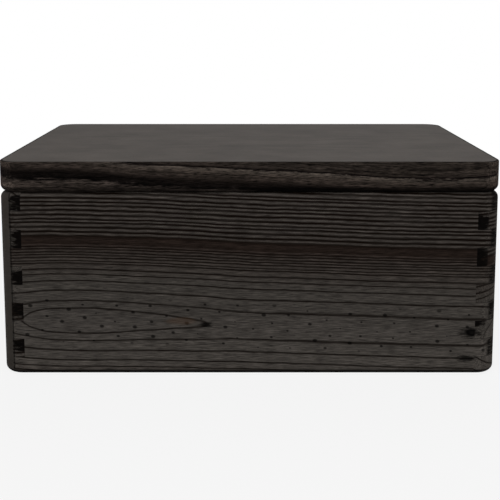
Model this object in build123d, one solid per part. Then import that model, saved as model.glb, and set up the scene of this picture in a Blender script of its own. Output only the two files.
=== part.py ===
from build123d import *
import os

# A pine box with finger-jointed walls and a solid edge-glued lid on two butt hinges let into the back.
# Millimetres. X runs along the front, Y to the back, Z up. The origin is under the middle of the base.

# Carcase
box_width = 300.0
box_depth = 200.0
body_height = 112.0
wall = 14.0
corner_radius = 12.0  # upright corners, the same on body and lid
edge_radius = 4.0  # outer edges round the base and on both sides of the seam
finger_count = 10  # fingers and gaps up one corner

# Bottom panel, held in a stopped groove round the inside of the walls
panel_thickness = 4.0
panel_height = 6.0  # underside of the panel above the table
groove_depth = 5.0
groove_side_play = 0.5  # room for the panel to swell, all round its edge
groove_top_play = 0.2

# Lid
lid_thickness = 18.5
lid_edge_break = 0.5  # narrow chamfer along the top edge
stave_count = 5

# Hinges, each of two leaves rolled round one pin
hinge_from_end = 55.0  # middle of a hinge from its end of the box
hinge_length = 30.0
knuckle_count = 3
knuckle_gap = 0.15  # between neighbouring knuckles, along the pin
leaf_thickness = 1.2
leaf_reach = 10.6  # free edge of a leaf from the pin's axis
leaf_corner_radius = 1.5
pin_radius = 0.75
pin_overhang = 0.4  # beyond the outer knuckles, at each end
pin_running_clearance = 0.05  # in the lid's knuckles, which turn
pin_fixed_clearance = 0.02  # in the body's knuckles, which hold the pin
knuckle_clearance = 0.3  # between a knuckle and the wood or leaf edge it turns past
mortise_play = 0.15  # round a leaf in its mortise
mortise_end_room = 0.6  # past each end of the pin

# Countersunk screws
screws_per_leaf = 2
screw_spacing = 18.0
screw_from_axis = 6.6
screw_length = 12.0
screw_radius = 1.2
screw_head_radius = 2.3
screw_head_sink = 0.1  # head below the leaf's face
screw_hole_clearance = 0.05

# Worked out from the sizes above
finger_height = body_height / finger_count
knuckle_radius = pin_radius + pin_running_clearance + leaf_thickness
knuckle_pitch = hinge_length / knuckle_count
hinge_axis_y = box_depth / 2 - knuckle_radius  # so the knuckles end flush with the back
hinge_x = box_width / 2 - hinge_from_end
hinge_places = {"left": -hinge_x, "right": hinge_x}


def rounded_block(height):
    # The outline of the box, extruded, with its lower edge rounded.
    block = extrude(RectangleRounded(box_width, box_depth, corner_radius), height)
    return fillet(block.faces().sort_by(Axis.Z)[0].edges(), edge_radius)


def top_edges(block):
    return block.faces().sort_by(Axis.Z)[-1].edges()


def finger_outline(length):
    # A wall seen from outside: even fingers, counted from the base, at its left end and odd ones at its right.
    outline = Pos(0, body_height / 2) * Rectangle(length, body_height)
    for i in range(finger_count):
        gap_side = 1 if i % 2 == 0 else -1
        gap_place = Pos(gap_side * (length - wall) / 2, (i + 0.5) * finger_height)
        outline -= gap_place * Rectangle(wall, finger_height)
    return outline


def bottom_panel(play, top_play):
    # The panel itself with the groove's play taken off, or the space that the groove makes for it with none.
    width = box_width - 2 * (wall - groove_depth + play)
    depth = box_depth - 2 * (wall - groove_depth + play)
    panel = extrude(Rectangle(width, depth), panel_thickness + top_play)
    return Pos(0, 0, panel_height) * panel


def board(length, reach, turn):
    # One wall at its distance from the middle, turned to its side, rounded with the box and grooved.
    blank = extrude(Plane.XZ.offset(reach) * finger_outline(length), -wall)
    return (Rot(0, 0, turn) * blank & body_envelope) - groove_space


def at_hinges(shape):
    # A shape made round the hinge axis at the origin, set at both hinges.
    return [Pos(x, hinge_axis_y, body_height) * shape for x in hinge_places.values()]


def along_pin(radius, length):
    # A rod on the hinge axis.
    return Rot(0, 90, 0) * Cylinder(radius, length)


def knuckle_slots(first):
    # Notches for the other leaf's knuckles: every second knuckle from this one, and a gap at each side.
    reach = 2 * (knuckle_radius + knuckle_clearance)
    slot = Box(knuckle_pitch + knuckle_gap, reach, reach)
    start = -(hinge_length - knuckle_pitch) / 2
    return [Pos(start + i * knuckle_pitch, 0, 0) * slot for i in range(first, knuckle_count, 2)]


def screw_places():
    first = -screw_spacing * (screws_per_leaf - 1) / 2
    return [Pos(first + i * screw_spacing, -screw_from_axis, 0) for i in range(screws_per_leaf)]


def turned_screw(top, clearance):
    # A wood screw without its thread, or with a clearance its hole: a right-angled countersunk head, cut off
    # flat at this height, over a straight shank.
    shank = screw_radius + clearance
    foot = -screw_head_sink - (screw_head_radius - screw_radius)
    tip = -screw_head_sink - screw_length - clearance
    outline = Polyline((0, top), (shank + top - foot, top), (shank, foot), (shank, tip), (0, tip), close=True)
    return revolve(Plane.XZ * make_face(outline), Axis.Z)


def leaf(first, bore_clearance):
    # A leaf lying just under the seam plane, its strip rolled round the pin at every second knuckle.
    strip_section = Pos(-leaf_reach / 2, -leaf_thickness / 2) * Rectangle(leaf_reach, leaf_thickness)
    strip = extrude(Plane.YZ * strip_section, hinge_length / 2, both=True)
    free_corners = strip.edges().filter_by(Axis.Z).group_by(Axis.Y)[0]
    strip = fillet(free_corners, leaf_corner_radius)
    rolled = strip + along_pin(knuckle_radius, hinge_length)
    rolled -= along_pin(pin_radius + bore_clearance, hinge_length)
    for slot in knuckle_slots(first):
        rolled -= slot
    for place in screw_places():
        rolled -= place * turned_screw(0, screw_hole_clearance)
    return rolled


def mortise():
    # What a hinge takes out of the wood under it: the leaf's bed, the knuckles' channel and the screws' pilot holes.
    bed_length = hinge_length + 2 * mortise_play
    bed_reach = leaf_reach + mortise_play
    bed = extrude(Pos(0, -bed_reach / 2) * Rectangle(bed_length, bed_reach), -leaf_thickness)
    free_corners = bed.edges().filter_by(Axis.Z).group_by(Axis.Y)[0]
    bed = fillet(free_corners, leaf_corner_radius + mortise_play)
    channel_length = hinge_length + 2 * (pin_overhang + mortise_end_room)
    cut = bed + along_pin(knuckle_radius + knuckle_clearance, channel_length)
    for place in screw_places():
        cut += place * turned_screw(0, screw_hole_clearance)
    return cut


def turned_over(shape):
    # The lid's half of a hinge is the body's half mirrored in the seam plane.
    return mirror(shape, Plane.XY)


def lid_slab():
    block = rounded_block(lid_thickness)
    slab = Pos(0, 0, body_height) * chamfer(top_edges(block), lid_edge_break)
    for cut in at_hinges(turned_over(mortise())):
        slab -= cut
    return slab


def lid_staves():
    # The slab sawn along the glue lines between its staves, front to back.
    slab = lid_slab()
    stave_width = box_depth / stave_count
    staves = {}
    for i in range(stave_count):
        middle = (i + 0.5) * stave_width - box_depth / 2
        slice_box = Pos(0, middle, body_height + lid_thickness / 2) * Box(box_width, stave_width, lid_thickness)
        staves[f"lid_stave_{i + 1}"] = slab & slice_box
    return staves


def walls():
    back = board(box_width, box_depth / 2, 180)
    for cut in at_hinges(mortise()):
        back -= cut
    return {
        "front_board": board(box_width, box_depth / 2, 0),
        "right_board": board(box_depth, box_width / 2, 90),
        "back_board": back,
        "left_board": board(box_depth, box_width / 2, 270),
    }


def hinges():
    body_leaf = leaf(1, pin_fixed_clearance)
    lid_leaf = turned_over(leaf(0, pin_running_clearance))
    pin = along_pin(pin_radius, hinge_length + 2 * pin_overhang)
    pieces = {"body_leaf": body_leaf, "lid_leaf": lid_leaf, "pin": pin}
    placed = {}
    for name, piece in pieces.items():
        for side, shape in zip(hinge_places, at_hinges(piece)):
            placed[f"{side}_hinge_{name}"] = shape
    return placed


def screw_group(one):
    # Every screw of one half of both hinges, as separate solids.
    placed = [piece for place in screw_places() for piece in at_hinges(place * one)]
    return Compound([solid for piece in placed for solid in piece.solids()])


def hinge_screws():
    # Driven down into the back wall, and up into the rearmost stave.
    screw = turned_screw(-screw_head_sink, 0)
    return {
        "body_hinge_screws": screw_group(screw),
        "lid_hinge_screws": screw_group(turned_over(screw)),
    }


body_block = rounded_block(body_height)
body_envelope = fillet(top_edges(body_block), edge_radius)
groove_space = bottom_panel(0, groove_top_play)

nodes = {
    **walls(),
    "bottom_panel": bottom_panel(groove_side_play, 0),
    **lid_staves(),
    **hinges(),
    **hinge_screws(),
}

os.makedirs("parts", exist_ok=True)
for node_name, node in nodes.items():
    export_step(node, f"parts/{node_name}.step")
    print(node_name, len(node.solids()), round(node.volume))
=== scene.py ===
import bpy
import math
import random
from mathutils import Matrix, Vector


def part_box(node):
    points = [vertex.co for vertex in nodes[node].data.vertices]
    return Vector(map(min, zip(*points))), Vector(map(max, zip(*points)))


# A near-black stained pine box with finger-jointed corners and a hinged slab lid.
# Sizes in the dictionaries are millimetres, colours are as seen on a screen, 0 to 255.
# A noise's size is how far it is drawn out each way.
# A pair of limits is where an effect starts and where it is whole.

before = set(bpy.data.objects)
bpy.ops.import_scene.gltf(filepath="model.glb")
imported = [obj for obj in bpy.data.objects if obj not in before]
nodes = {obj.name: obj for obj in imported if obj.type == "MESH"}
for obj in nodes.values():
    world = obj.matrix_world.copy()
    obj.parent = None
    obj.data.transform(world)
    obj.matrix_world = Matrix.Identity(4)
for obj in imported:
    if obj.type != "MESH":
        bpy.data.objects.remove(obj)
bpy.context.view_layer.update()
print("frame loaded:", len(nodes), "nodes")


def corners(node):
    # a node's lowest and highest corner at rest
    return [[round(c * 1000, 3) for c in corner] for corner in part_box(node)]


frontLow, frontHigh = corners("front_board")
staveLow, staveHigh = corners("lid_stave_1")
halfWidth = frontHigh[0]
halfDepth = -frontLow[1]
wall = frontHigh[1] - frontLow[1]
seamHeight = frontHigh[2]
lidHeight = staveHigh[2]
staveWidth = staveHigh[1] - staveLow[1]


def seen(r, g, b):
    # a screen colour as the linear one that a shader takes
    shares = [c / 255 for c in (r, g, b)]
    return tuple(c / 12.92 if c <= 0.04045 else ((c + 0.055) / 1.055) ** 2.4 for c in shares) + (1.0,)


class Wire:
    # one socket of a node; arithmetic on it adds Math nodes
    def __init__(self, graph, socket):
        self.graph = graph
        self.socket = socket

    def out(self, name):
        return Wire(self.graph, self.socket.node.outputs[name])

    def maths(self, operation, *others):
        return self.graph.node("ShaderNodeMath", {"operation": operation}, dict(enumerate((self,) + others)))

    def __add__(self, other): return self.maths("ADD", other)
    def __radd__(self, other): return self.maths("ADD", other)
    def __sub__(self, other): return self.maths("SUBTRACT", other)
    def __mul__(self, other): return self.maths("MULTIPLY", other)
    def __rmul__(self, other): return self.maths("MULTIPLY", other)
    def __truediv__(self, other): return self.maths("DIVIDE", other)
    def __pow__(self, other): return self.maths("POWER", other)
    def __abs__(self): return self.maths("ABSOLUTE")

    def __rsub__(self, other):
        return self.graph.node("ShaderNodeMath", {"operation": "SUBTRACT"}, {0: other, 1: self})


class Graph:
    # the node tree of a material or of the world
    def __init__(self, owner):
        owner.use_nodes = True
        self.owner = owner
        self.tree = owner.node_tree
        self.tree.nodes.clear()

    def node(self, kind, settings=None, sockets=None, out=0):
        made = self.tree.nodes.new(kind)
        for key, value in (settings or {}).items():
            setattr(made, key, value)
        for key, value in (sockets or {}).items():
            if isinstance(value, Wire):
                self.tree.links.new(value.socket, made.inputs[key])
            else:
                made.inputs[key].default_value = value
        return Wire(self, made.outputs[out]) if made.outputs else None

    def point(self):
        # the place on the piece, in its object's frame, in millimetres
        coords = self.node("ShaderNodeTexCoord").out("Object")
        scaled = self.node("ShaderNodeVectorMath", {"operation": "SCALE"}, {0: coords, "Scale": 1000.0})
        return self.parts(scaled)

    def parts(self, vector):
        split = self.node("ShaderNodeSeparateXYZ", {}, {0: vector})
        return split.out("X"), split.out("Y"), split.out("Z")

    def vector(self, x, y, z):
        return self.node("ShaderNodeCombineXYZ", {}, {0: x, 1: y, 2: z})

    def noise(self, point, size, detail=3.0, roughness=0.55, shift=0.0):
        # centred on zero, about -0.5 to 0.5
        x, y, z = (at / length for at, length in zip(point, size))
        place = self.vector(x, y, z + shift if shift else z)
        sockets = {"Vector": place, "Scale": 1.0, "Detail": detail, "Roughness": roughness}
        return self.node("ShaderNodeTexNoise", {}, sockets) - 0.5

    def rise(self, value, low, high):
        # 0 below low, 1 above high, smooth between; falls where low is above high
        if low > high:
            return 1 - self.rise(value, high, low)
        sockets = {"Value": value, "From Min": low, "From Max": high}
        return self.node("ShaderNodeMapRange", {"interpolation_type": "SMOOTHSTEP"}, sockets)

    def ramp(self, value, stops, between="LINEAR"):
        # colours laid out along a value
        first, last = stops[0][0], stops[-1][0]
        made = self.node("ShaderNodeValToRGB", {}, {0: (value - first) / (last - first)})
        band = made.socket.node.color_ramp
        band.interpolation = between
        while len(band.elements) < len(stops):
            band.elements.new(0.5)
        for element, (at, colour) in zip(band.elements, stops):
            element.position = (at - first) / (last - first)
        for element, (at, colour) in zip(band.elements, stops):
            element.color = colour
        return made

    def tones(self, value, points):
        return self.ramp(value, [(at, seen(*colour)) for at, colour in points])

    def curve(self, value, points, between="LINEAR"):
        # a curve through points of (input, output)
        outs = [out for at, out in points]
        base = min(outs)
        span = (max(outs) - base) or 1.0
        stops = [(at, ((out - base) / span,) * 3 + (1.0,)) for at, out in points]
        return self.ramp(value, stops, between) * span + base

    def nearestRing(self, growth, rings, pitch):
        # how far off the next ring line is, as a share of the year; past the last ring the pitch is even
        count = len(rings)
        beyond = (growth - rings[-1]).maths("MAXIMUM", 0.0) / pitch
        years = self.curve(growth, [(ring, i / count) for i, ring in enumerate(rings)]) * count + beyond
        return 0.5 - abs(years.maths("FRACT") - 0.5)

    def shade(self, colour, factor):
        # a colour made lighter or darker
        if not isinstance(colour, Wire):
            colour = colour[:3]
        return self.node("ShaderNodeVectorMath", {"operation": "SCALE"}, {0: colour, "Scale": factor})

    def blend(self, factor, colourA, colourB):
        return self.node("ShaderNodeMix", {"data_type": "RGBA"}, {0: factor, 6: colourA, 7: colourB}, out=2)

    def bump(self, height, distance):
        return self.node("ShaderNodeBump", {}, {"Height": height, "Distance": distance, "Strength": 1.0})

    def shownRay(self):
        # 1 where a surface is seen, directly, mirrored or through something; 0 where it only lights
        ray = self.node("ShaderNodeLightPath")
        shown = ray.out("Is Camera Ray") + ray.out("Is Glossy Ray") + ray.out("Is Transmission Ray")
        return shown.maths("MINIMUM", 1.0)

    def finish(self, **sockets):
        # the surface itself; names are the Principled shader's own, with _ for a space
        named = {name.replace("_", " "): value for name, value in sockets.items()}
        shader = self.node("ShaderNodeBsdfPrincipled", {}, named)
        self.node("ShaderNodeOutputMaterial", {}, {"Surface": shader})
        return self.owner


def farness(a, b):
    return (a * a + b * b) ** 0.5


# The walls' wood
boardGrain = {
    "slow": {"size": (55, 26, 26), "detail": 2.0},  # the slow and quick wander of the rings
    "quick": {"size": (13, 9, 9), "detail": 1.0},
    "quickShare": 0.5,
    "streak": {"size": (60, 2.2, 2.2), "roughness": 0.6},
    "fibre": {"size": (8, 0.42, 0.42), "roughness": 0.6},
    "mottle": {"size": (16, 5, 5), "detail": 4.0, "roughness": 0.65},
    "fleck": {"size": (4, 0.5, 0.5), "detail": 1.0},
    "fleckLimits": (0.16, 0.3),
    "fibreDepth": 3.6, "streakDepth": 0.9, "mottleDepth": 1.0, "fleckDepth": 0.5,
    "darkest": 0.1,  # the least that the fibre leaves of the tone
    "rimLimits": (111.75, 111.95), "rimTilt": 2.2,  # draws the rings as fine lines along the upper edges too
    "lowLift": [(0, 1.34), (26, 1.12), (40, 0.98), (112, 1.0)],  # lighter towards the base
    "footLimits": (3.6, 2.2), "footShade": 0.9,  # the rounded lower edge, darkened as painted shade where it faces the floor
    "roughness": 0.7, "specular": 0.02,
    "lineRough": 0.1, "mottleRough": 0.12, "endRough": 0.1,
    "bumpDepth": 0.00016,  # metres
    "lineBump": -0.55, "fibreBump": 0.5, "fleckBump": 0.5, "mottleBump": 0.18,
}

# Growth rings of a board, by their distance from its pith: a few wide ones, then three runs, each given by
# its first ring, the pitch and the count. The plain dark zone lies between the last two runs.
boardGrowth = {
    "innerRings": [17.5, 20.4, 22.5, 26.5, 31.0],
    "runs": [(34.5, 2.8, 3), (41.6, 1.6, 7), (55.8, 2.4, 14)],
    "unevenness": 0.2,  # as a share of the pitch
    "seed": 7,
    "pitchBeyond": 2.8,
    "tones": [(10, (67, 63, 60)), (24, (69, 65, 61)), (32, (67, 63, 59)), (38, (64, 59, 55)),
              (47, (60, 54, 50)), (50.5, (51, 43, 39)), (51.5, (40, 32, 28)), (55, (39, 31, 27)),
              (56.5, (66, 61, 57)), (62, (71, 66, 62)), (90, (72, 67, 63))],
    "lineTone": (10, 4, 1),
    "lineWidth": [(10, 0.38), (21, 0.38), (24, 0.24), (33, 0.2), (40, 0.38), (46, 0.5), (58, 0.54),
                  (90, 0.54)],
    "lineDepth": [(10, 0.8), (24, 0.86), (34, 0.92), (45, 0.95), (50, 0.9), (51.5, 0.35), (54, 0.35),
                  (56, 1.0), (90, 1.0)],
    "lineLimits": (1.0, 0.1), "lineStreak": 1.4,
    "leastSlant": 0.1,
    "boldLimits": (1.4, 0.7), "boldWidth": 0.6,
}

knotLook = {
    "push": 1.2, "pushLimits": (2.4, 0.4),
    "ragged": {"size": (3.5, 1.6, 3)}, "raggedDepth": 0.9,
    "darkLimits": (1.1, 0.75), "dark": 0.92,
    "heartLimits": (0.65, 0.2), "heartLift": 0.35,
}

# Pin knots, in rows staggered along and across the board and scattered a little
pinLook = {
    "along": 21.3, "across": 9.5, "lean": 0.07, "scatter": 0.42,
    "long": 1.3, "wide": 0.95, "smallest": 0.4, "growth": 0.95,
    "limits": (1.15, 0.5), "fromPith": (15.5, 12.0), "dark": 0.8,
}

smearLook = {
    "ragged": {"size": (5, 1.1, 1), "roughness": 0.6}, "raggedDepth": 1.9,
    "limits": (1.0, 0.35), "frontLimits": (-90.0, -94.0), "dark": 0.82,
}

resinLook = {"tone": (72, 55, 42), "ragged": 2.0, "limits": (1.1, 0.2), "skin": (3.0, 1.0), "share": 0.5}

# End grain drinks the stain and goes darker, in torn patches
endLook = {
    "tone": (9, 7, 6),
    "grain": {"size": (3, 1.4, 2.2), "roughness": 0.6}, "grainDepth": 1.6, "lineDepth": 0.3,
    "patch": {"size": (30, 5.5, 7), "detail": 2.0, "roughness": 0.6}, "patchDepth": 0.9,
    "torn": {"size": (30, 0.8, 4.5), "detail": 2.0, "roughness": 0.6}, "tornDepth": 1.7,
    "limits": (0.62, 1.0), "dull": 0.3,
}

# The front left corner: a plain, lighter strip of painted sheen on its rounding, with a painted shade line
# along its inner border and painted shade at its outer edge
cornerSheenStrip = {
    "alongFront": (-142.9, -143.7), "alongSide": (-91.0, -93.5),
    "tone": (58, 54, 50), "fibreDepth": 0.8, "mottleDepth": 0.5,
    "lineAt": -142.7, "lineLimits": (0.75, 0.2), "lineFront": (-96.0, -98.0), "lineFoot": (1.5, 4.0),
    "lineShade": 0.7,
    "edgeFront": (-148.3, -149.2), "edgeSide": (-86.0, -89.0), "edgeShade": 0.5,
}

# Fine dark lines where the fingers of two boards meet
fingerJoint = {
    "count": 10, "lineWidth": 0.22, "lineEdge": 0.3, "lineTone": (16, 14, 13),
    "cornerEdge": 0.1, "footLimits": (3.0, 6.0), "share": 0.75,
}

# Dark smears on the front face, as middle across and up and half lengths; two run on across the right joint
jointSmears = [(134.0, 26.4, 9.5, 4.6), (131.0, 10.2, 8.0, 3.0)]

# The pith runs along a board a little in front of its face, and its height and depth are curves along it.
# A knot or resin streak is its middle along and across and its half lengths. A bold ring is its distance from
# the pith and where along the board it starts and is whole. The soak is how much stain the end grain drinks
# by height, and its drift where under the face it starts to change and by how much for each millimetre.
frontBoard = {
    "axes": "xzy", "faceAt": -halfDepth,
    "pithHeight": [(-150, 34.6), (-60, 33.4), (0, 30.4), (75, 28.0), (150, 25.6)],
    "pithDepth": [(-150, 20.7), (-139, 20.5), (-133, 20.0), (-124, 19.2), (-108, 18.8), (-92, 18.85),
                  (-72, 19.4), (-50, 19.95), (-36, 20.2), (-26, 20.38), (-14, 20.8), (2, 20.95),
                  (150, 20.95)],
    "tilt": 0.3, "wander": 1.5, "tone": 1.0,
    "boldRing": (22.5, -10.0, 40.0),
    "knots": [(134.4, 26.4, 4.0, 2.2)],
    "pins": True,
    "smears": jointSmears + [(-25.8, 31.1, 6.0, 2.0)],
    "resin": (-41.0, 33.4, 10.5, 2.9),
    "ends": [(-149.4, -150.0), (143.0, 145.5)],
    "soak": [(0, 0.9), (112, 0.9)],
    "soakDrift": (6.0, 0.0),
}
backBoard = {
    "axes": "xzy", "faceAt": halfDepth,
    "pithHeight": [(-150, 62.0), (-40, 66.0), (60, 71.0), (150, 74.0)],
    "pithDepth": [(-150, 20.6), (-60, 20.1), (20, 19.0), (60, 18.8), (110, 19.6), (150, 20.4)],
    "tilt": 0.45, "wander": 2.4, "tone": 0.97,
    "boldRing": (26.5, -40.0, 20.0),
    "knots": [(-88.0, 40.0, 7.5, 5.5)],
    "pins": True,
    "smears": [],
    "resin": (52.0, 84.0, 12.0, 1.6),
    "ends": [(-147.0, -149.6), (147.0, 149.6)],
    "soak": [(0, 0.9), (40, 0.7), (80, 1.0), (112, 0.8)],
    "soakDrift": (6.0, 0.0),
}
rightBoard = {
    "axes": "yzx", "faceAt": halfWidth,
    "pithHeight": [(-100, 22.0), (0, 24.5), (100, 30.0)],
    "pithDepth": [(-100, 19.6), (-30, 20.5), (30, 21.2), (100, 20.4)],
    "tilt": 0.35, "wander": 2.0, "tone": 1.0,
    "boldRing": (31.0, 0.0, 60.0),
    "knots": [(38.0, 71.0, 8.0, 6.0)],
    "pins": False,
    "smears": jointSmears,
    "resin": (-20.0, 41.0, 8.0, 1.3),
    "ends": [(-98.7, -99.35), (98.7, 99.35)],
    "soak": [(0, 0.1), (29.5, 0.1), (30.8, 0.9), (33.6, 0.9), (35, 0.15), (58, 0.2), (66, 1.0), (76.5, 1.0),
             (78, 0.6), (89, 0.7), (90, 1.0), (97, 1.0), (99, 0.5), (112, 0.5)],
    "soakDrift": (9.0, 0.07),
}
leftBoard = {
    "axes": "yzx", "faceAt": -halfWidth,
    "pithHeight": [(-100, 88.0), (0, 83.0), (100, 80.0)],
    "pithDepth": [(-100, 21.0), (-20, 20.0), (40, 18.9), (100, 20.2)],
    "tilt": 0.35, "wander": 2.2, "tone": 1.0,
    "boldRing": (22.5, -60.0, -20.0),
    "knots": [],
    "pins": False,
    "smears": [],
    "resin": (18.0, 66.0, 10.0, 1.5),
    "ends": [(-98.7, -99.35), (98.7, 99.35)],
    "soak": [(0, 0.1), (13.5, 0.1), (15, 0.95), (20.5, 0.95), (22, 0.4), (35, 0.2), (37, 0.9), (43.5, 1.0),
             (46, 0.5), (54, 0.5), (56, 1.0), (63.5, 1.0), (66, 0.4), (77, 0.6), (79, 1.0), (88.5, 1.0),
             (90, 0.5), (100, 0.6), (102, 1.0), (108, 1.0), (112, 0.85)],
    "soakDrift": (9.5, 0.06),
}


def growthRings(growth):
    # no two years are alike, so each ring of a run lies a little off its place
    chance = random.Random(growth["seed"])
    rings = list(growth["innerRings"])
    for first, pitch, count in growth["runs"]:
        rings += [first + pitch * (i + chance.uniform(-1, 1) * growth["unevenness"]) for i in range(count)]
    return rings


def knots(g, board, inBoard, growth):
    # a knot pushes the rings aside and darkens the middle, and its heart is lighter again
    along, across, depth = inBoard
    dark = 0.0
    for knotAlong, knotAcross, halfLong, halfWide in board["knots"]:
        reach = farness((along - knotAlong) / halfLong, (across - knotAcross) / halfWide)
        ragged = reach + g.noise(inBoard, **knotLook["ragged"]) * knotLook["raggedDepth"]
        growth = growth + g.rise(reach, *knotLook["pushLimits"]) * knotLook["push"]
        heart = g.rise(ragged, *knotLook["heartLimits"]) * knotLook["heartLift"]
        dark = (g.rise(ragged, *knotLook["darkLimits"]) * (1 - heart)).maths("MAXIMUM", dark)
    return growth, dark


def pinKnots(g, inBoard, off):
    # cells laid out on the two diagonals of the rows, with a dot in the middle of each
    look = pinLook
    along, across, depth = inBoard
    lean = across + along * look["lean"]
    u = along / look["along"] + lean / look["across"]
    v = along / look["along"] - lean / look["across"]
    sockets = {"Vector": g.vector(u, v, 0.0), "Scale": 1.0, "Randomness": look["scatter"]}
    cell = g.node("ShaderNodeTexVoronoi", {"voronoi_dimensions": "2D"}, sockets)
    size = g.parts(cell.out("Color"))[0] * look["growth"] + look["smallest"]
    middleU, middleV = g.parts(cell.out("Position"))[:2]
    gapAlong = (along - (middleU + middleV) * (look["along"] / 2)) / look["long"]
    gapAcross = (lean - (middleU - middleV) * (look["across"] / 2)) / look["wide"]
    return g.rise(farness(gapAlong, gapAcross) / size, *look["limits"]) * g.rise(abs(off), *look["fromPith"])


def smear(g, place, middleX, middleZ, halfLong, halfHigh):
    x, y, z = place
    ragged = g.noise((x, z, 0.0), **smearLook["ragged"]) * smearLook["raggedDepth"]
    reach = farness((x - middleX) / halfLong, (z - middleZ) / halfHigh)
    return g.rise(reach + ragged, *smearLook["limits"]) * g.rise(y, *smearLook["frontLimits"])


def resinStreak(g, board, inBoard, mottle):
    along, across, depth = inBoard
    resinAlong, resinAcross, halfLong, halfWide = board["resin"]
    u = (along - resinAlong) / halfLong
    v = (across - resinAcross) / halfWide
    reach = u * u + v * v + mottle * resinLook["ragged"]
    return g.rise(reach, *resinLook["limits"]) * g.rise(depth, *resinLook["skin"])


def endGrain(g, board, inBoard, colour, line):
    # the colour of the ends, and how far a point belongs to them
    along, across, depth = inBoard
    low, high = board["ends"]
    end = g.rise(along, *low).maths("MAXIMUM", g.rise(along, *high))
    soak = g.curve(across, board["soak"])
    driftFrom, drift = board["soakDrift"]
    patches = g.noise(inBoard, **endLook["patch"]) * endLook["patchDepth"]
    torn = g.noise(inBoard, **endLook["torn"]) * endLook["tornDepth"]
    soaked = g.rise(soak + (depth - driftFrom) * drift + patches + torn, *endLook["limits"])
    grain = g.noise(inBoard, **endLook["grain"]) * endLook["grainDepth"]
    dark = g.shade(seen(*endLook["tone"]), 1 + grain - line * endLook["lineDepth"])
    return g.blend(soaked, g.shade(colour, 1 - soak * endLook["dull"]), dark), end


def fingerLines(g, board, inBoard):
    joint = fingerJoint
    along, across, depth = inBoard
    pitch = seamHeight / joint["count"]
    reach = halfWidth if board["axes"][0] == "x" else halfDepth
    inner = reach - wall
    fromFinger = abs((across / pitch + 0.5).maths("FRACT") - 0.5) * pitch
    corner = g.rise(abs(along), inner - joint["cornerEdge"], inner + joint["cornerEdge"])
    seam = g.rise(fromFinger, joint["lineWidth"], joint["lineWidth"] * joint["lineEdge"])
    return seam * corner * g.rise(across, *joint["footLimits"])


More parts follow.
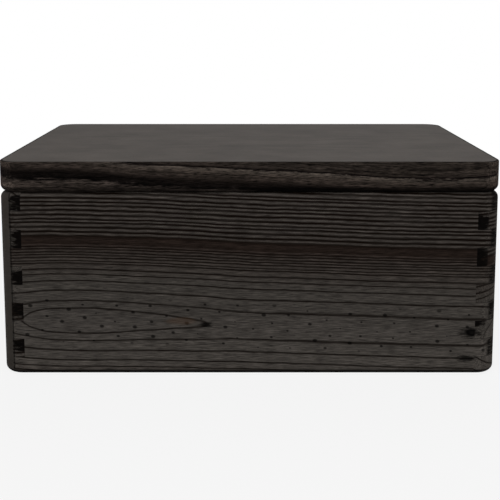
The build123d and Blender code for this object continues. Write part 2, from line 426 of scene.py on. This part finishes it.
def boardFinish(name, board):
    g = Graph(bpy.data.materials.new(name))
    grain, rings, sheenStrip = boardGrain, boardGrowth, cornerSheenStrip
    place = x, y, z = g.point()
    axes = {"x": x, "y": y, "z": z}
    along, across, into = (axes[a] for a in board["axes"])
    depth = abs(into - board["faceAt"])
    inBoard = (along, across, depth)

    # how far a point has grown from the pith
    wander = g.noise(inBoard, **grain["slow"]) + g.noise(inBoard, **grain["quick"]) * grain["quickShare"]
    off = across - g.curve(along, board["pithHeight"], "B_SPLINE") + wander * board["wander"]
    tilt = board["tilt"] + g.rise(across, *grain["rimLimits"]) * grain["rimTilt"]
    growth = farness(off, g.curve(along, board["pithDepth"], "CARDINAL") + depth * tilt)
    growth, knotDark = knots(g, board, inBoard, growth)

    # the dark line that ends each year, kept fine where the face only grazes a ring
    streak = g.noise(inBoard, **grain["streak"])
    nearest = g.nearestRing(growth, growthRings(rings), rings["pitchBeyond"])
    slant = (abs(off) / growth).maths("MAXIMUM", rings["leastSlant"])
    boldAt, boldFrom, boldTo = board["boldRing"]
    bold = g.rise(abs(growth - boldAt), *rings["boldLimits"]) * g.rise(along, boldFrom, boldTo)
    width = g.curve(growth, rings["lineWidth"]) * slant * (1 + bold * rings["boldWidth"])
    line = g.rise(nearest / width, *rings["lineLimits"]) * g.curve(growth, rings["lineDepth"])
    line = line * (1 + streak * rings["lineStreak"]).maths("MINIMUM", 1.0)

    fibre = g.noise(inBoard, **grain["fibre"])
    mottle = g.noise(inBoard, **grain["mottle"])
    fleck = g.rise(g.noise(inBoard, **grain["fleck"]), *grain["fleckLimits"])
    light = (1 + fibre * grain["fibreDepth"]).maths("MAXIMUM", grain["darkest"])
    light = light * (1 + streak * grain["streakDepth"])
    light = light * (1 + mottle * grain["mottleDepth"]) * (1 - fleck * grain["fleckDepth"])
    light = light * g.curve(across, grain["lowLift"]) * board["tone"]
    colour = g.blend(line, g.shade(g.tones(growth, rings["tones"]), light), seen(*rings["lineTone"]))

    # painted sheen: the rounded front left corner drawn as a plain lighter strip, with painted shade along
    # its border and at its outer edge
    plain = g.rise(x, *sheenStrip["alongFront"]) * g.rise(y, *sheenStrip["alongSide"])
    sheenLight = 1 + fibre * sheenStrip["fibreDepth"] + mottle * sheenStrip["mottleDepth"]
    colour = g.blend(plain, colour, g.shade(seen(*sheenStrip["tone"]), sheenLight))
    stripShadeLine = g.rise(abs(x - sheenStrip["lineAt"]), *sheenStrip["lineLimits"]) * g.rise(y, *sheenStrip["lineFront"])
    stripShadeLine = stripShadeLine * g.rise(z, *sheenStrip["lineFoot"])
    stripShadeEdge = g.rise(x, *sheenStrip["edgeFront"]) * g.rise(y, *sheenStrip["edgeSide"])
    colour = g.shade(colour, (1 - stripShadeLine * sheenStrip["lineShade"]) * (1 - stripShadeEdge * sheenStrip["edgeShade"]))

    if board["pins"]:
        colour = g.shade(colour, 1 - pinKnots(g, inBoard, off) * pinLook["dark"])
    if board["knots"]:
        colour = g.shade(colour, 1 - knotDark * knotLook["dark"])
    for sizes in board["smears"]:
        colour = g.shade(colour, 1 - smear(g, place, *sizes) * smearLook["dark"])
    resin = resinStreak(g, board, inBoard, mottle) * resinLook["share"]
    colour = g.blend(resin, colour, g.shade(seen(*resinLook["tone"]), 1 + fibre))

    ends, end = endGrain(g, board, inBoard, colour, line)
    colour = g.blend(end, colour, ends)
    # painted shade on the rounded lower edge
    colour = g.shade(colour, 1 - g.rise(z, *grain["footLimits"]) * grain["footShade"])
    seam = fingerLines(g, board, inBoard) * (1 - plain) * fingerJoint["share"]
    colour = g.blend(seam, colour, seen(*fingerJoint["lineTone"]))

    height = line * grain["lineBump"] + fibre * grain["fibreBump"]
    height = height - fleck * grain["fleckBump"] + mottle * grain["mottleBump"]
    rough = grain["roughness"] + mottle * grain["mottleRough"]
    rough = rough - line * grain["lineRough"] + end * grain["endRough"]
    return g.finish(Base_Color=colour, Roughness=rough, Specular_IOR_Level=grain["specular"],
                    Normal=g.bump(height, grain["bumpDepth"]))


# The lid's rings lie nearly flat, so its top shows little figure and its front edge two dark streaks
lidGrowth = {
    "rings": [20, 23.5, 26.5, 29.0, 31.0, 35.5, 38.5, 41.0, 43.5, 46.5, 50, 54, 58, 62],
    "pitchBeyond": 4.2,
    "slow": {"size": (60, 26, 26), "detail": 2.0}, "slowDepth": 1.6,
    "quick": {"size": (12, 8, 5), "detail": 2.0}, "quickDepth": 0.9,
    "lineWidth": 0.16, "lineLimits": (1.0, 0.1),
    "lineDepth": [(20, 0.35), (29.5, 0.4), (30.6, 0.9), (31.4, 0.9), (33.0, 0.3), (62, 0.4)],
}
lidGrain = {
    "fibre": {"size": (5.5, 0.42, 0.42), "roughness": 0.65},
    "streak": {"size": (46, 3, 1.8), "detail": 4.0, "roughness": 0.65},
    "mottle": {"size": (9, 4, 3), "detail": 4.0, "roughness": 0.65},
    "roughness": 0.7, "specular": 0.035, "mottleRough": 0.1,
    "bumpDepth": 0.00016,  # metres
    "fibreBump": 0.4, "lineBump": -0.4, "mottleBump": 0.2,
}
lidSide = {
    "tones": [(20, (52, 46, 41)), (30.0, (46, 40, 36)), (31.6, (32, 26, 24)), (32.4, (74, 67, 61)),
              (34.5, (58, 51, 46)), (38.2, (48, 41, 37)), (39.8, (19, 15, 13)), (43.6, (14, 11, 10)),
              (45.4, (58, 51, 47)), (52, (66, 58, 53)), (62, (54, 47, 43))],
    "mottleSpread": 3, "streakSpread": 5, "fibreSpread": 4,  # how far each blurs the tones' borders
    "fibreDepth": 6.4, "fibreLeast": 0.1, "streakDepth": 3.2, "mottleDepth": 2.4, "patchLeast": 0.2,
    "lift": 1.36,
    "grooveLimits": (116.4, 114.0), "grooveShade": 0.7,  # painted shade on the lid's lower rounding, in the groove of the seam
}
lidEnd = {"limits": (148.6, 149.4), "grain": {"size": (3, 1.1, 1.1), "roughness": 0.6}, "grainDepth": 0.9,
          "tone": (9, 7, 6), "lift": 1.2, "lineDepth": 0.4, "share": 0.8}
lidTop = {
    "tone": (63, 58, 54), "lift": [(-100, 1.05), (100, 0.93)], "staveShare": 0.5,
    "figure": 0.2, "fibreDepth": 0.35, "mottleDepth": 0.5,
    "cloud": {"size": (36, 30, 1), "detail": 4.0, "roughness": 0.6}, "cloudDepth": 1.1,
    "dust": {"size": (1.6, 1.6, 1), "detail": 2.0, "roughness": 0.6}, "dustDepth": 0.3,
    "skin": (0.25, 0.05),
    "corner": 12.0, "rimLimits": (1.9, 1.2), "rimShade": 0.95, "rimRough": 0.3,
    "smoother": 0.06, "fibreBumpLess": 0.6, "lineBumpLess": 0.8,
}
glueLine = {"limits": (0.487, 0.496), "dark": 0.3}

# Each stave's middle is where its pith lies behind the front, and its slope the pith's depth below the top
lidStaves = {
    "lid_stave_1": {"middle": -101.5, "tone": 1.0, "shift": 0.0,
                    "slope": [(-150, 34.6), (-112, 34.6), (-88, 32.8), (-73, 31.0), (-54, 29.5), (-29, 28.3),
                              (0, 27.2), (30, 25.4), (60, 23.3), (85, 22.1), (119, 21.6), (150, 23.0)]},
    "lid_stave_2": {"middle": -30.0, "tone": 0.97, "shift": 3.0, "slope": [(-150, 27), (0, 31), (150, 28)]},
    "lid_stave_3": {"middle": 6.0, "tone": 1.02, "shift": 5.0, "slope": [(-150, 34), (-40, 29), (150, 33)]},
    "lid_stave_4": {"middle": 31.0, "tone": 0.98, "shift": 1.0, "slope": [(-150, 30), (50, 27), (150, 31)]},
    "lid_stave_5": {"middle": 104.0, "tone": 1.0, "shift": 6.0, "slope": [(-150, 25), (-20, 31), (150, 33)]},
}


def lidFinish(name, stave):
    g = Graph(bpy.data.materials.new(name))
    rings, grain = lidGrowth, lidGrain
    place = x, y, z = g.point()
    wander = g.noise(place, **rings["slow"], shift=stave["shift"]) * rings["slowDepth"]
    wander = wander + g.noise(place, **rings["quick"]) * rings["quickDepth"]
    deep = g.curve(x, stave["slope"], "CARDINAL") + (lidHeight - z) + wander
    growth = farness(y - stave["middle"], deep)
    nearest = g.nearestRing(growth, rings["rings"], rings["pitchBeyond"])
    line = g.rise(nearest / rings["lineWidth"], *rings["lineLimits"]) * g.curve(growth, rings["lineDepth"])

    fibre = g.noise(place, **grain["fibre"])
    streak = g.noise(place, **grain["streak"], shift=stave["shift"])
    mottle = g.noise(place, **grain["mottle"])

    # the sides: strong streaks, broken up by the fibre
    edge = lidSide
    patchy = (1 + fibre * edge["fibreDepth"]).maths("MAXIMUM", edge["fibreLeast"])
    patchy = patchy * (1 + streak * edge["streakDepth"]).maths("MAXIMUM", edge["patchLeast"])
    patchy = patchy * (1 + mottle * edge["mottleDepth"]).maths("MAXIMUM", edge["patchLeast"])
    blurred = growth + mottle * edge["mottleSpread"]
    blurred = blurred + streak * edge["streakSpread"] + fibre * edge["fibreSpread"]
    side = g.shade(g.tones(blurred, edge["tones"]), (1 - line) * patchy * (stave["tone"] * edge["lift"]))
    # painted shade on the lower rounding, at the seam
    side = g.shade(side, 1 - g.rise(z, *edge["grooveLimits"]) * edge["grooveShade"])

    # the sanded top: even, with only a trace of the figure, and painted shade along its rim
    flat = lidTop
    cloud = g.noise((x, y, 0.0), **flat["cloud"]) * flat["cloudDepth"]
    dust = g.noise((x, y, 0.0), **flat["dust"]) * flat["dustDepth"]
    light = (1 - line * flat["figure"]) * (1 + fibre * flat["fibreDepth"]) * (1 + cloud)
    # painted shading: the top's lift makes it lighter at the front and darker at the back
    light = light * (1 + mottle * flat["mottleDepth"]) * (1 + dust) * g.curve(y, flat["lift"])
    light = light * (stave["tone"] * flat["staveShare"] + 1 - flat["staveShare"])
    outX = (abs(x) - (halfWidth - flat["corner"])).maths("MAXIMUM", 0.0)
    outY = (abs(y) - (halfDepth - flat["corner"])).maths("MAXIMUM", 0.0)
    # painted shade along the rounded rim of the top; the roughness there is real
    rim = g.rise(flat["corner"] - farness(outX, outY), *flat["rimLimits"])
    top = g.shade(seen(*flat["tone"]), light * (1 - rim * flat["rimShade"]))
    onTop = g.rise(lidHeight - z, *flat["skin"])
    colour = g.blend(onTop, side, top)

    end = g.rise(abs(x), *lidEnd["limits"]) * (1 - onTop)
    endLight = lidEnd["lift"] + g.noise(place, **lidEnd["grain"]) * lidEnd["grainDepth"]
    endLight = endLight - line * lidEnd["lineDepth"]
    colour = g.blend(end * lidEnd["share"], colour, g.shade(seen(*lidEnd["tone"]), endLight))
    fromGlue = abs((y / staveWidth + 0.5).maths("FRACT") - 0.5)
    colour = g.shade(colour, 1 - g.rise(fromGlue, *glueLine["limits"]) * glueLine["dark"])

    height = fibre * grain["fibreBump"] * (1 - onTop * flat["fibreBumpLess"])
    height = height + line * grain["lineBump"] * (1 - onTop * flat["lineBumpLess"])
    height = height + mottle * grain["mottleBump"]
    rough = grain["roughness"] - onTop * flat["smoother"]
    rough = rough + mottle * grain["mottleRough"] + rim * flat["rimRough"]
    return g.finish(Base_Color=colour, Roughness=rough, Specular_IOR_Level=grain["specular"],
                    Normal=g.bump(height, grain["bumpDepth"]))


# Thin plywood, its face peeled from the log, so wide wavy bands
panelLook = {
    "tone": (54, 48, 42),
    "warp": {"size": (70, 38, 1)}, "warpReach": 46, "ringPitch": 3.4, "figure": 0.55,
    "fibre": {"size": (22, 0.6, 0.6), "roughness": 0.6}, "fibreDepth": 1.6, "fibreBump": 0.5,
    "mottle": {"size": (18, 7, 7), "detail": 4.0, "roughness": 0.6}, "mottleDepth": 0.9, "mottleRough": 0.15,
    "pore": {"size": (4, 0.4, 1), "detail": 1.0}, "poreLimits": (0.16, 0.26),
    "poreDepth": 0.5, "poreBump": 0.6,
    "roughness": 0.62, "specular": 0.22,
    "bumpDepth": 0.00014,  # metres
}


def panelFinish(name, look):
    g = Graph(bpy.data.materials.new(name))
    place = x, y, z = g.point()
    warp = g.noise((x, y, 0.0), **look["warp"]) * look["warpReach"]
    bands = ((y + warp) / look["ringPitch"]).maths("SINE") * 0.5 + 0.5
    fibre = g.noise(place, **look["fibre"])
    mottle = g.noise(place, **look["mottle"])
    pores = g.rise(g.noise(place, **look["pore"]), *look["poreLimits"])
    light = (1 - bands * bands * look["figure"]) * (1 + fibre * look["fibreDepth"])
    light = light * (1 + mottle * look["mottleDepth"]) * (1 - pores * look["poreDepth"])
    height = fibre * look["fibreBump"] - pores * look["poreBump"]
    rough = look["roughness"] + mottle * look["mottleRough"]
    return g.finish(Base_Color=g.shade(seen(*look["tone"]), light), Roughness=rough,
                    Specular_IOR_Level=look["specular"], Normal=g.bump(height, look["bumpDepth"]))


# Dulled plate: cloudy tarnish, specks, and drawing lines along the pin
brassLook = {
    "leafTone": (196, 164, 98), "screwTone": (190, 158, 96),
    "tarnish": (112, 88, 52), "tarnishLimits": (-0.05, 0.22), "tarnishShare": 0.6, "speckShare": 0.3,
    "cloud": {"size": (6, 6, 6), "detail": 4.0, "roughness": 0.65},
    "speck": {"size": (0.9, 0.9, 0.9), "detail": 2.0}, "speckLimits": (0.12, 0.24),
    "drawn": {"size": (12, 0.12, 0.12), "detail": 2.0},
    "roughness": 0.34, "cloudRough": 0.25, "drawnRough": 0.12, "speckRough": 0.15,
    "drawnBump": 0.35, "speckBump": 0.5,
    "bumpDepth": 0.00012,  # metres
}

# The cross recess in each screw head, drawn with a bump and painted shade, where the screws stand in pairs on
# the back wall
screwCross = {
    "fromMiddle": 95.0, "apart": 18.0, "row": 91.4,
    "long": 1.35, "longEdge": 0.85, "wide": 0.42, "wideEdge": 0.6,
    "headLimits": (0.4, 0.2), "dark": 0.86, "bump": 3.0,
}


def crossRecess(g, place):
    look = screwCross
    x, y, z = place
    fromScrew = abs(abs(abs(x) - look["fromMiddle"]) - look["apart"] / 2)
    fromRow = abs(y - look["row"])
    arms = []
    for lengthwise, sideways in ((fromScrew, fromRow), (fromRow, fromScrew)):
        inLength = g.rise(lengthwise, look["long"], look["long"] * look["longEdge"])
        arms.append(inLength * g.rise(sideways, look["wide"], look["wide"] * look["wideEdge"]))
    return arms[0].maths("MAXIMUM", arms[1]) * g.rise(abs(z - seamHeight), *look["headLimits"])


def brassFinish(name, tone, recess=False):
    g = Graph(bpy.data.materials.new(name))
    look = brassLook
    place = g.point()
    cloud = g.noise(place, **look["cloud"])
    speck = g.rise(g.noise(place, **look["speck"]), *look["speckLimits"])
    drawn = g.noise(place, **look["drawn"])
    tarnish = g.rise(cloud, *look["tarnishLimits"]) * look["tarnishShare"] + speck * look["speckShare"]
    colour = g.blend(tarnish, seen(*tone), seen(*look["tarnish"]))
    rough = look["roughness"] + cloud * look["cloudRough"]
    rough = rough + drawn * look["drawnRough"] + speck * look["speckRough"]
    height = drawn * look["drawnBump"] - speck * look["speckBump"]
    if recess:
        cross = crossRecess(g, place)
        # painted shade inside the cross recess
        colour = g.shade(colour, 1 - cross * screwCross["dark"])
        height = height - cross * screwCross["bump"]
    return g.finish(Base_Color=colour, Metallic=1.0, Roughness=rough,
                    Normal=g.bump(height, look["bumpDepth"]))


def dress(node, material):
    for slot in nodes[node].material_slots:
        slot.material = material


def finishName(node):
    return "stained" + node.title().replace("_", "")


print("wood of the body")
boards = {"front_board": frontBoard, "back_board": backBoard,
          "right_board": rightBoard, "left_board": leftBoard}
for node, board in boards.items():
    dress(node, boardFinish(finishName(node), board))
dress("bottom_panel", panelFinish("stainedPlywood", panelLook))

print("wood of the lid")
for node, stave in lidStaves.items():
    dress(node, lidFinish(finishName(node), stave))

print("brass")
hingeBrass = brassFinish("hingeBrass", brassLook["leafTone"])
screwBrass = brassFinish("screwBrass", brassLook["screwTone"], recess=True)
for side in ("left", "right"):
    for piece in ("hinge_body_leaf", "hinge_lid_leaf", "hinge_pin"):
        dress(side + "_" + piece, hingeBrass)
for half in ("body", "lid"):
    dress(half + "_hinge_screws", screwBrass)


# The studio, in metres and watts
studio = {
    "ceilingLight": 0.42,  # the room's own even light
    "lampSize": 1.3,
    "lamps": {
        "keyLamp": {"at": (-0.5, -1.1, 1.3), "power": 9.0},
        "fillLamp": {"at": (0.9, -0.9, 0.9), "power": 5.0},
        "backLamp": {"at": (0.2, 1.1, 1.4), "power": 7.0},
    },
    "floorSize": 6.0, "floorTone": 0.5, "floorGlow": 0.86, "shadowReach": (0.26, 0.6),
}
white = (1, 1, 1, 1)


def lamp(name, at, power):
    # a round soft light turned to the box
    data = bpy.data.lights.new(name, "AREA")
    data.shape = "DISK"
    data.size = studio["lampSize"]
    data.energy = power
    made = bpy.data.objects.new(name, data)
    bpy.context.scene.collection.objects.link(made)
    away = math.hypot(at[0], at[1])
    made.location = at
    made.rotation_euler = (math.atan2(away, at[2]), 0.0, math.atan2(at[0], -at[1]))
    made.visible_camera = False


def studioFloor():
    # white to the camera, with the box's soft shadow kept near it
    reach = studio["floorSize"]
    mesh = bpy.data.meshes.new("floor")
    outline = [(-reach, -reach, 0), (reach, -reach, 0), (reach, reach, 0), (-reach, reach, 0)]
    mesh.from_pydata(outline, [], [(0, 1, 2, 3)])
    floor = bpy.data.objects.new("floor", mesh)
    bpy.context.scene.collection.objects.link(floor)
    g = Graph(bpy.data.materials.new("floorWhite"))
    x, y = g.parts(g.node("ShaderNodeTexCoord").out("Object"))[:2]
    plain = g.node("ShaderNodeBsdfDiffuse", {}, {"Color": (studio["floorTone"],) * 3 + (1.0,)})
    glow = g.node("ShaderNodeEmission", {}, {"Color": white, "Strength": 1.0})
    fade = g.rise(farness(x, y), *studio["shadowReach"])
    share = g.shownRay() * (studio["floorGlow"] + (1 - studio["floorGlow"]) * fade)
    mixed = g.node("ShaderNodeMixShader", {}, {0: share, 1: plain, 2: glow})
    g.node("ShaderNodeOutputMaterial", {}, {"Surface": mixed})
    mesh.materials.append(g.owner)


def studioWorld():
    # white where it is seen, an even dimmer white where it lights
    g = Graph(bpy.data.worlds.new("studio"))
    bpy.context.scene.world = g.owner
    even = g.node("ShaderNodeBackground", {}, {"Color": white, "Strength": studio["ceilingLight"]})
    backdrop = g.node("ShaderNodeBackground", {}, {"Color": white, "Strength": 1.0})
    mixed = g.node("ShaderNodeMixShader", {}, {0: g.shownRay(), 1: even, 2: backdrop})
    g.node("ShaderNodeOutputWorld", {}, {"Surface": mixed})


# Metres, degrees down from level, and millimetres of lens
view = {"at": (0.0, -0.64755, 0.21501), "pitch": 7.431, "lens": 67.655, "sensor": 36.0, "near": 0.01,
        "shiftX": 0.0012, "shiftY": -0.22}


def photoCamera():
    data = bpy.data.cameras.new("photoCamera")
    data.sensor_width = view["sensor"]
    data.lens = view["lens"]
    data.shift_x = view["shiftX"]
    data.shift_y = view["shiftY"]
    data.clip_start = view["near"]
    made = bpy.data.objects.new("photoCamera", data)
    bpy.context.scene.collection.objects.link(made)
    made.location = view["at"]
    made.rotation_euler = (math.radians(90 - view["pitch"]), 0.0, 0.0)
    bpy.context.scene.camera = made


print("studio")
studioFloor()
studioWorld()
for name, placed in studio["lamps"].items():
    lamp(name, placed["at"], placed["power"])
photoCamera()
bpy.context.scene.view_settings.view_transform = "Standard"

print("done")
